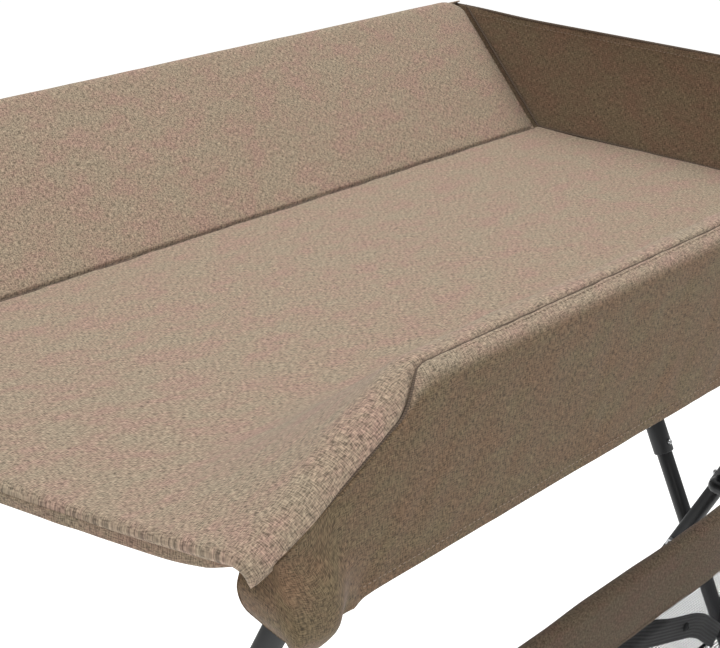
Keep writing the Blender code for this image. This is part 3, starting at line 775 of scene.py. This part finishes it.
skirt = panel("front_outer_cloth", front_cloth,
              np.concatenate([stations(0.0, WRAP_END + 0.075, 0.0026, EDGE, 0.0026)[:-1],
                              stations(WRAP_END + 0.075, WRAP_END + CLOTH_RUN, 0.0042,
                                       0.004, EDGE)]),
              np.concatenate([stations(0.0, FLAT, 0.024, 0.010, 0.012)[:-1],
                              stations(FLAT, 1.0, 0.018, 0.015, 0.03)]),
              CLOTH, (EDGE, EDGE, 0.010, 0.030), front_cloth_relief, front_painted_shade)
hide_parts("front_skirt", "front_cuff_open_end")
rides(skirt, FRONT)


REAR_FACE = REAR_RISE - 0.013 - HEM     # hem to the start of the turn over the padding
TOP_R = 0.0075


def rear_cloth(u, v):
    """Outer cloth of the rear: hem to top edge, then over the padding's top edge."""
    over = np.clip((v - REAR_FACE) / TOP_R, 0, math.pi / 2)
    y = SKIRT_Y - TOP_R * (1 - np.cos(over))
    z = HEM + np.clip(v, 0, REAR_FACE) + TOP_R * np.sin(over)
    return grid_points(bowed(-u, y), y, z)


def outer_slack(u, v):
    return 0.0015 * ripple(u, v, 0.10, 0.08, 41) + 0.0005 * ripple(u + v, v - u, 0.03, 0.012, 42)


rear_cloth_height = REAR_FACE + TOP_R * math.pi / 2
# painted shade: the rear outer cloth is painted dark on its upright face and lit where it turns
# over the padding's top edge
rear_skirt = panel("rear_outer_cloth", rear_cloth, stations(-END_X, -NEAR, 0.007, EDGE, EDGE),
                   stations(0.0, rear_cloth_height, 0.006, EDGE, EDGE),
                   CLOTH, (EDGE,) * 4, outer_slack, lambda u, v: 1 - ease((v - 0.148) / 0.012))
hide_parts("rear_skirt")
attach(rear_skirt, REAR)


# ---------------------------------------------------------------- far wall

WALL_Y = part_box("end_wall")[1].y - MID_Y + 0.002
WALL_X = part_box("end_wall")[0].x + 0.0012


def wall_top(y):
    """The wall's top edge: level, then down to the front side near the front corner."""
    fall = ease((-0.12 - y) / 0.13)
    level = REAR_RISE - 0.011 + 0.0025 * ease((y - 0.15) / 0.1)
    return level - (REAR_RISE - FRONT_RISE - 0.014) * fall


def wall_middle(u, v):
    low = -0.012
    z = low + (wall_top(u) - low) * v
    bow = 0.0030 * np.sin(math.pi * np.clip(v, 0, 1)) * np.sin(
        math.pi * (u + WALL_Y) / (2 * WALL_Y))
    return grid_points(WALL_X + bow, u, z)


def wall_relief(u, v):
    return 0.0010 * ripple(u, v * 0.1, 0.07, 0.05, 51) + 0.0004 * ripple(
        u + v * 0.1, v * 0.1 - u, 0.03, 0.012, 52)


# painted shade: the far wall is painted mostly in the shaded cloth colour all over
wall = panel("far_end_wall", wall_middle, stations(-WALL_Y, WALL_Y, 0.006, EDGE, EDGE),
             stations(0.0, 1.0, 0.05, 0.008, 0.008), CLOTH, (EDGE, EDGE, 0.008, 0.008),
             wall_relief, lambda u, v: np.ones_like(u) * 0.8)
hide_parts("end_wall")
hem_line = [tray_point(WALL_X, y, float(wall_top(y)) - 0.0005)
            for y in np.linspace(-WALL_Y, WALL_Y, 60)]
wall_welt = sweep("far_wall_welt", hem_line, 0.0013, WELT, 12)
wall_hem = stitch_run("far_wall_stitches", [[p + Vector((-0.0012, 0, -0.006)) for p in hem_line]])
for item in (wall, wall_welt, wall_hem):
    across_fold(item)


# ---------------------------------------------------------------- edges and seams of the tray

def near_section(inset):
    """Line across the tray's near end, from the rear side's top edge to the front corner."""
    line = [(FOLD + t * SLOPE.y, t * SLOPE.z) for t in np.linspace(0.985, 0.03, 24)]
    line += [(y, 0.0) for y in np.linspace(FOLD - 0.004, -FOLD + 0.004, 40)]
    line += [(y, 0.0055 * float(ease((-FOLD - y) / 0.09)))
             for y in np.linspace(-FOLD - 0.004, CROWN_Y - 0.010, 18)]
    return [tray_point(float(near_x(np.array(y))) - 0.0003, y, z - inset) for y, z in line]


near_edge = np.array([tuple(p) for p in near_section(0.0)])
edge_run = np.concatenate([[0], np.cumsum(np.linalg.norm(np.diff(near_edge, axis=0), axis=1))])


def binding_middle(u, v):
    """Strip under the near edge: it hangs a little deeper towards the front corner."""
    y = np.interp(u, edge_run, near_edge[:, 1]) - MID_Y
    z = np.interp(u, edge_run, near_edge[:, 2]) - DECK
    left = edge_run[-1] - u
    belly = 0.0035 * np.exp(-((left - 0.045) / 0.035) ** 2)
    close = ease(left / 0.030)
    height = (0.0085 + belly) * (0.25 + 0.75 * close)
    x = near_x(y) + 0.0016 + 0.002 * (1 - close)
    return grid_points(x + 0 * v, y, z - 0.0060 - height * (1 - v) - 0.002 * (1 - close))


# painted shade: the binding under the near edge takes about a third of the shaded cloth colour
binding = panel("near_end_binding", binding_middle,
                stations(0.0, float(edge_run[-1]), 0.005, 0.003, 0.003),
                stations(0.0, 1.0, 0.14, 0.25, 0.25), 0.0046, (0.003, 0.003, 0.25, 0.25),
                lambda u, v: 0.0004 * ripple(u, v, 0.016, 0.5, 61) + 0.0004 * ripple(
                    u, v, 0.05, 0.5, 62), lambda u, v: 0.35 + 0 * u)
across_fold(binding)

seam_line = [p + Vector((0.0012, 0, -0.0002)) for p in near_section(0.0056)]
near_welt = sweep("near_end_welt", seam_line, 0.0008, WELT, 10)
across_fold(near_welt)
near_stitches = stitch_run("near_end_stitches",
                           [[p + Vector((0.0006, 0, 0.0030)) for p in seam_line]])
across_fold(near_stitches)


def along_crown(start, stop, count, turn, proud):
    """Line beside the crown seam: turned round the crown from it, and this far off its surface."""
    line = []
    for x in np.linspace(start, stop, count):
        centre_z, _ = crown(float(x))
        angle = float(seam_angle(x)[1]) + turn
        reach = CROWN_R + proud
        line.append(tray_point(float(x), CROWN_Y + reach * math.cos(angle),
                               float(centre_z) + reach * math.sin(angle)))
    return line


crown_welt = sweep("crown_welt", along_crown(OUT_X + 0.006, FAR - 0.004, 260, 0.0, -0.0011),
                   0.0009, WELT, 10)
rides(crown_welt, FRONT)
crown_stitches = stitch_run("crown_stitches",
                            [along_crown(RAMP_TOP + 0.004, FAR - 0.006, 200, 0.13, 0.0002)])
rides(crown_stitches, FRONT)

# the far corner seam and the fold seams
corner_seam = [tray_point(FAR - 0.0002, FOLD + t * SLOPE.y, t * SLOPE.z + 0.0005)
               for t in np.linspace(0.0, 0.93, 40)]
floor_seam = [tray_point(FAR, y, -0.0008) for y in np.linspace(FOLD, -FOLD, 60)]
front_seam = [tray_point(FAR, -FOLD - t * (SIDE_Y - FOLD), t * FRONT_RISE * 0.8)
              for t in np.linspace(0.02, 0.75, 20)]
rear_fold = [tray_point(x, FOLD + 0.0003, -0.0024)
             for x in np.linspace(NEAR - 0.001, FAR - 0.002, 160)]
for name, line in (("far_corner_seam", corner_seam[::-1] + floor_seam[1:] + front_seam),
                   ("rear_fold_seam", rear_fold)):
    across_fold(sweep(name, line, 0.0011, WELT, 8))
lower_hem = stitch_run("front_hem_stitches",
                       [[tray_point(float(x), -SKIRT_Y - 0.0012, HEM + HEM_FOLD)
                         for x in np.linspace(FRONT_NEAR + 0.075, FAR - 0.006, 180)]])
rides(lower_hem, FRONT)
rear_hem = stitch_run("rear_hem_stitches",
                      [[tray_point(float(x), SKIRT_Y + 0.0011, HEM + HEM_FOLD)
                        for x in np.linspace(NEAR + 0.004, FAR - 0.002, 200)]])
rides(rear_hem, REAR)


def far_cuff():
    """A short sleeve of the outer cloth round the top of the far leg."""
    count, height = 40, 0.03
    low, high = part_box("front_cuff_wall_end")
    centre = (low + high) / 2
    us = np.linspace(0, 2 * math.pi, count + 1)
    rows = np.linspace(0, 1, 12)
    points, uv = [], []
    for t in rows:
        flare = 0.0138 + 0.0016 * math.sin(math.pi * t) - 0.0018 * t ** 3
        for a in us[:-1]:
            points.append((centre.x + flare * math.cos(a),
                           low.y + (high.y - low.y) * (0.34 + 0.32 * t) + flare * math.sin(a),
                           high.z + (low.z - high.z) * t))
            uv.append((flare * a, t * height))
    faces = [(r * count + k, (r + 1) * count + k, (r + 1) * count + (k + 1) % count,
              r * count + (k + 1) % count) for r in range(len(rows) - 1) for k in range(count)]
    item = link_mesh("front_cuff_cloth", points, faces, CLOTH_FACE)
    # painted shade: the cuff is painted wholly in the shaded cloth colour
    add_map(item, uv, np.ones(len(points)))
    solid = item.modifiers.new("thickness", "SOLIDIFY")
    solid.thickness, solid.offset = 0.0014, -1
    return item


cuff = far_cuff()
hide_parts("front_cuff_wall_end")
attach(cuff, FRONT)


# ---------------------------------------------------------------- basket

def mirrored_x(x, side):
    """X on the far side of the basket (side 1) or at the same place on the open side (-1)."""
    return FRAME_X + side * (x - FRAME_X)


band_low, band_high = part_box("basket_rear_band")
REACH = (band_high.x - band_low.x) / 2
BASKET_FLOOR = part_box("basket_floor")[0].z
TUBE_Z = (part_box("basket_rear_tube")[0].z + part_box("basket_rear_tube")[1].z) / 2
REAR_NET_Y = (band_low.y + band_high.y) / 2
FRONT_NET_Y = sum(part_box("basket_front_band")[k].y for k in (0, 1)) / 2
BAND_DROP = TUBE_Z - band_low.z
FOLD_R = (band_high.y - band_low.y) / 2 - CLOTH / 2
PINCH = 0.0058                  # each side of a band closes in on the net by this much
BAND_STITCH = 0.0045            # height of the stitches over the band's lower edge
NET_CELL, NET_HOLE = 0.003, 0.64
BRACE_HALF = 0.0125             # half the webbing's width


def rim_band(name, node_name, y, seed):
    """Cloth folded over the rim tube and stitched to the net's top edge."""
    fall = BAND_DROP
    run = 2 * fall + math.pi * FOLD_R

    def middle(u, v):
        over = np.clip((v - fall) / FOLD_R, 0, math.pi)
        down = np.clip(v - fall - math.pi * FOLD_R, 0, None)
        hung = np.clip(fall - v, 0, None)
        pinch = PINCH * (np.clip((hung + down) / fall, 0, 1)) ** 1.5
        side_y = -FOLD_R * np.cos(over)
        return np.stack(np.broadcast_arrays(
            u, y + side_y + np.where(v < run / 2, pinch, -pinch),
            TUBE_Z + FOLD_R * np.sin(over) - hung - down), axis=-1)

    def slack(u, v):
        return (0.0011 * ripple(u, v, 0.06, 0.05, seed)
                + 0.0005 * ripple(u + 0.6 * v, v, 0.013, 0.05, seed + 1)
                * np.exp(-np.minimum(v, run - v) / 0.02))

    # painted shade and light: the band is painted in the shaded cloth colour on its sides and
    # lighter along the top of its fold over the tube
    item = panel(name, middle, stations(FRAME_X - REACH, FRAME_X + REACH, 0.0055, EDGE, EDGE),
                 stations(0.0, run, 0.0045, EDGE, EDGE), CLOTH, (EDGE,) * 4, slack,
                 lambda u, v: 0.62 - 0.25 * np.exp(-((v - run / 2) / 0.010) ** 2))
    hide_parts(node_name)
    shift = FOLD_R - PINCH * ((fall - BAND_STITCH) / fall) ** 1.5 + CLOTH / 2 + 0.0003
    lines = [[(x, y + side * shift, TUBE_Z - fall + BAND_STITCH)
              for x in np.linspace(FRAME_X - REACH + 0.003, FRAME_X + REACH - 0.003, 150)]
             for side in (-1, 1)]
    seams = stitch_run(name + "_stitches", lines)
    rides(seams, FRONT)
    rides(item, FRONT)


def net_sheet(name, node_name, place, width, length):
    """Knitted net; its cells are drawn 3 mm wide, coarse enough for the holes to show."""
    s, t = np.meshgrid(*[np.linspace(0, 1, max(int(size / NET_CELL), 2) + 1)
                         for size in (width, length)], indexing="ij")
    points = place(s, t).reshape(-1, 3)
    item = link_mesh(name, points, quads(np.arange(len(points)).reshape(s.shape)), NET)
    grown(item, NETTING, {"Hole": NET_HOLE, "Yarn": NET})
    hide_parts(node_name)
    rides(item, FRONT)


NET_TOP = TUBE_Z - BAND_DROP + 0.006
NET_HIGH = NET_TOP - BASKET_FLOOR
DEPTH = REAR_NET_Y - FRONT_NET_Y
X_LOW = FRAME_X - REACH


def wall_net(y, sign, seed):
    def place(s, t):
        sag = 0.004 * np.sin(math.pi * s) * np.sin(math.pi * t)
        wave = 0.0012 * ripple(s * 2 * REACH, t * NET_HIGH, 0.06, 0.05, seed)
        return np.stack([X_LOW + 2 * REACH * s, y + sign * sag + wave * np.sin(math.pi * t),
                         BASKET_FLOOR + 0.001 + NET_HIGH * t], axis=-1)
    return place


def floor_net(s, t):
    sag = 0.009 * np.sin(math.pi * s) * np.sin(math.pi * t)
    return np.stack([X_LOW + 2 * REACH * s, FRONT_NET_Y + DEPTH * t,
                     BASKET_FLOOR + 0.001 - sag], axis=-1)


def end_net(side):
    top = TUBE_Z - 0.014

    def place(s, t):
        sag = 0.003 * np.sin(math.pi * s) * np.sin(math.pi * t)
        x = FRAME_X + side * (REACH - 0.001 - sag)
        inset = 0.0085 * ease((t - 0.3) / 0.3)
        y = FRONT_NET_Y + inset + (DEPTH - 2 * inset) * s
        return np.stack(np.broadcast_arrays(x, y, BASKET_FLOOR + 0.001 + (
            top - BASKET_FLOOR) * t), axis=-1)
    return place, top - BASKET_FLOOR


def hoop_line():
    """Centre of the rim hoop, from the far leg's sleeve round the front to the near leg's."""
    low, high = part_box("basket_hoop")
    radius, corner, turn = (high.z - low.z) / 2, 0.022, 0.006
    tube_low, tube_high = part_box("basket_rear_tube")
    front, leg_y = low.y + radius, high.y - radius
    half = (tube_high.x - tube_low.x) / 2 + radius + 0.0003
    line = [(high.x - FRAME_X, leg_y), (half + turn, leg_y)]
    for k in range(1, 7):
        a = k / 6 * math.pi / 2
        line.append((half + turn - turn * math.sin(a), leg_y - turn * (1 - math.cos(a))))
    for k in range(12):
        a = k / 11 * math.pi / 2
        line.append((half - corner * (1 - math.cos(a)), front + corner * (1 - math.sin(a))))
    whole = line + [(-x, y) for x, y in reversed(line)]
    return [Vector((FRAME_X + x, y, TUBE_Z)) for x, y in whole], radius


hoop_points, RIM_R = hoop_line()
hoop = sweep("basket_rim_hoop", hoop_points, RIM_R, POWDER, 28)
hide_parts("basket_hoop")
rides(hoop, FRONT)
rim_band("basket_rear_band_cloth", "basket_rear_band", REAR_NET_Y, 71)
rim_band("basket_front_band_cloth", "basket_front_band", FRONT_NET_Y, 75)
net_sheet("basket_rear_netting", "basket_rear_net", wall_net(REAR_NET_Y, 1, 81),
          2 * REACH, NET_HIGH)
net_sheet("basket_front_netting", "basket_front_net", wall_net(FRONT_NET_Y, -1, 83),
          2 * REACH, NET_HIGH)
net_sheet("basket_floor_netting", "basket_floor", floor_net, 2 * REACH, DEPTH)
for side, end in ((-1, OPEN), (1, WALL)):
    place, height = end_net(side)
    net_sheet("basket_end_netting_" + end, "basket_side_" + end, place, DEPTH, height)

rim = [(X_LOW, FRONT_NET_Y), (X_LOW, REAR_NET_Y), (X_LOW + 2 * REACH, REAR_NET_Y),
       (X_LOW + 2 * REACH, FRONT_NET_Y)]
loop = []
for index, (x, y) in enumerate(rim + rim[:1]):
    nx, ny = (rim + rim[:2])[index + 1]
    steps = 24 if index < 4 else 1
    for k in range(steps):
        t = k / steps
        loop.append(Vector((x + (nx - x) * t, y + (ny - y) * t, BASKET_FLOOR + 0.0012)))
rides(sweep("basket_floor_binding", loop, 0.0019, NET, 10), FRONT)
for index, (x, y) in enumerate(rim):
    inward = -1 if y > (REAR_NET_Y + FRONT_NET_Y) / 2 else 1
    post = [Vector((x, y + inward * 0.0006, BASKET_FLOOR + (NET_TOP - BASKET_FLOOR) * t))
            for t in np.linspace(0.0, 0.97, 14)]
    rides(sweep("basket_corner_binding_%d" % (index + 1), post, 0.0017, NET, 10), FRONT)


def webbing_brace(side, end):
    """Ribbed tape across the rear net: out from under the band, kinked down to the corner."""
    knots = [(0.135, -0.344), (0.190, -0.369), (0.268, -0.396), (0.284, -0.405), (0.318, -0.4335)]
    knots = [Vector((mirrored_x(x, side), 0, DECK + z)) for x, z in knots]
    line = []
    for a, b in zip(knots, knots[1:]):
        line += [a.lerp(b, k / 8) for k in range(8)]
    line.append(knots[-1])
    run = np.concatenate([[0], np.cumsum([(b - a).length for a, b in zip(line, line[1:])])])
    xs, zs = np.array([p.x for p in line]), np.array([p.z for p in line])

    def middle(u, v):
        x, z = np.interp(u, run, xs), np.interp(u, run, zs)
        step = 0.004
        dx = np.interp(u + step, run, xs) - np.interp(u - step, run, xs)
        dz = np.interp(u + step, run, zs) - np.interp(u - step, run, zs)
        size = np.hypot(dx, dz) + 1e-9
        high = z + dx / size * v * side
        tucked = ease((high - band_low.z + 0.010) / 0.009)
        return np.stack([x - dz / size * v * side, REAR_NET_Y - 0.0046 + 0.0040 * tucked,
                         high], axis=-1)

    length = float(run[-1])
    item = panel("basket_brace_" + end, middle, stations(0.0, length, 0.004, EDGE, EDGE),
                 stations(-BRACE_HALF, BRACE_HALF, 0.003, EDGE, EDGE), 0.0015, (EDGE,) * 4,
                 lambda u, v: 0.0003 * ripple(u, v, 0.02, 0.01, 91), material=WEBBING)
    bm = bmesh.new()
    bm.from_mesh(item.data)
    bmesh.ops.recalc_face_normals(bm, faces=bm.faces)
    bm.to_mesh(item.data)
    bm.free()
    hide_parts("basket_strap_" + end)
    rides(item, FRONT)
    at = knots[2].lerp(knots[1], 0.18)
    start = Vector((at.x, REAR_NET_Y - 0.0052, at.z))
    screw = turned("basket_brace_screw_" + end, start, start + Vector((0, -0.0026, 0)),
                   [(0, 0.0044), (0.0006, 0.0046), (0.0014, 0.0041), (0.0021, 0.0030),
                    (0.0024, 0.0019), (0.0018, 0.0016), (0.0017, 0.0002)], NYLON, 32)
    rides(screw, FRONT)


webbing_brace(-1, OPEN)
webbing_brace(1, WALL)


# ---------------------------------------------------------------- frame

BODY_OF = {name: body for body, names in frame["record"]["behaviour"]["bodies"].items()
           for name in names}
FINISH_OF = {part["node"]: part["material_slot"] for part in frame["record"]["subparts"]}


def rides_as(item, node_name):
    """A finer piece stands for a CAD node, on the same body and with the same finish."""
    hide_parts(node_name)
    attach(item, BODY_OF[node_name])


def axis_of(node_name, run=None):
    """Middle of each end of a straight round part, and its radius."""
    mesh = frame["nodes"][node_name].data
    points = np.unique(np.round(np.array([v.co for v in mesh.vertices]), 6), axis=0)
    centre = (points.min(axis=0) + points.max(axis=0)) / 2
    if run is not None:
        along = (points - centre) @ run
        away = (points - centre) - np.outer(along, run)
        return (centre + run * along.min(), centre + run * along.max(),
                np.linalg.norm(away, axis=1).max())
    run = np.linalg.svd(points - points.mean(axis=0), full_matrices=False)[2][0]
    for _ in range(2):
        along = (points - centre) @ run
        start = points[along < along.min() + 0.0006].mean(axis=0)
        stop = points[along > along.max() - 0.0006].mean(axis=0)
        run = (stop - start) / np.linalg.norm(stop - start)
        centre = (start + stop) / 2
    away = (points - centre) - np.outer((points - centre) @ run, run)
    return start, stop, np.linalg.norm(away, axis=1).max()


def tube(node_name, lip=0.0006, run=None):
    start, stop, radius = axis_of(node_name, run)
    item = turned(node_name + "_drawn", start, stop,
                  [(0, radius - lip), (lip * 0.4, radius - lip * 0.4), (lip, radius),
                   (-lip, radius), (-lip * 0.4, radius - lip * 0.4), (-1e-6, radius - lip)],
                  POWDER if FINISH_OF[node_name] == "steel" else NYLON)
    rides_as(item, node_name)


for end in (OPEN, WALL):
    for family in ("outer_leg", "inner_leg"):
        for part in ("upper_tube", "lower_tube"):
            tube("%s_%s_%s" % (family, part, end))
        start, stop, _ = axis_of("%s_upper_tube_%s" % (family, end))
        tube("%s_sleeve_%s" % (family, end), 0.0011, (stop - start) / np.linalg.norm(stop - start))
        name = "%s_elbow_%s" % (family, end)
        low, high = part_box(name)
        radius, middle = (high.z - low.z) / 2, (low + high) / 2
        cap = turned(name + "_moulded", Vector((low.x, middle.y, middle.z)),
                     Vector((high.x, middle.y, middle.z)),
                     [(0, radius * 0.30), (0, radius * 0.62), (0.0006, radius * 0.80),
                      (0.0018, radius * 0.93), (0.0038, radius), (-0.0038, radius),
                      (-0.0018, radius * 0.93), (-0.0006, radius * 0.80), (-1e-6, radius * 0.62),
                      (-0.0006, radius * 0.50), (-0.0006, radius * 0.10)], NYLON)
        rides_as(cap, name)
for name in ("rear_rail", "front_rail", "front_crossbar", "rear_crossbar", "basket_rear_tube"):
    tube(name)


def shoe(node_name):
    """Rubber shoe: the CAD solid with its edges rolled over by 2.5 mm."""
    item = frame["nodes"][node_name].copy()
    item.data = frame["nodes"][node_name].data.copy()
    item.name = node_name + "_moulded"
    item.parent = None
    bpy.context.scene.collection.objects.link(item)
    bm = bmesh.new()
    bm.from_mesh(item.data)
    bmesh.ops.remove_doubles(bm, verts=bm.verts, dist=1e-5)
    bmesh.ops.dissolve_limit(bm, angle_limit=math.radians(2), verts=bm.verts, edges=bm.edges)
    sharp = [e for e in bm.edges if e.calc_face_angle(0) > math.radians(40)
             and e.calc_length() > 0.02]
    bmesh.ops.bevel(bm, geom=sharp, offset=0.0025, segments=4, profile=0.5, affect="EDGES",
                    clamp_overlap=True)
    bm.to_mesh(item.data)
    bm.free()
    item.data.materials.clear()
    item.data.materials.append(RUBBER)
    item.data.shade_smooth()
    item.data.set_sharp_from_angle(angle=math.radians(32))
    rides_as(item, node_name)


for end in (OPEN, WALL):
    for family in ("outer_leg", "inner_leg"):
        shoe("%s_foot_%s" % (family, end))

FINISHES = {"steel": POWDER, "plastic": NYLON, "zinc": ZINC, "rubber": RUBBER, "board": BOARD,
            "net": NET, "webbing": WEBBING, "upholstery": CLOTH_FACE}
for name, item in frame["nodes"].items():
    item.data.materials.clear()
    item.data.materials.append(FINISHES[FINISH_OF[name]])


# ---------------------------------------------------------------- floor and light

def stage_floor():
    mesh = bpy.data.meshes.new("floor")
    half, level = 7, -0.0005
    mesh.from_pydata([(-half, -half, level), (half, -half, level), (half, half, level),
                      (-half, half, level)], [], [(0, 1, 2, 3)])
    material, _, shader = new_material("matt_white_vinyl_floor")
    shader.inputs["Base Color"].default_value = linear("#f4f4f2")
    shader.inputs["Roughness"].default_value = 0.9
    shader.inputs["Emission Color"].default_value = linear("#ffffff")
    shader.inputs["Emission Strength"].default_value = 0.60
    mesh.materials.append(material)
    floor = bpy.data.objects.new("floor", mesh)
    bpy.context.scene.collection.objects.link(floor)
    floor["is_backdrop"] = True


def area_light(name, place, aim, size, power):
    data = bpy.data.lights.new(name, "AREA")
    data.energy, data.size = power, size
    light = bpy.data.objects.new(name, data)
    bpy.context.scene.collection.objects.link(light)
    light.location = place
    light.rotation_euler = (Vector(aim) - Vector(place)).to_track_quat("-Z", "Y").to_euler()


stage_floor()
area_light("overhead_softbox", (0.1, -0.1, 3.2), (0, 0, 0.85), 2.6, 62)
area_light("front_fill", (-2.6, -2.2, 1.7), (0, 0, 0.8), 1.8, 10)
world = bpy.data.worlds.new("studio")
bpy.context.scene.world = world
world.use_nodes = True
world.node_tree.nodes["Background"].inputs["Color"].default_value = linear("#ffffff")
world.node_tree.nodes["Background"].inputs["Strength"].default_value = 0.45
bpy.context.scene.view_settings.view_transform = "Standard"

low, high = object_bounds()
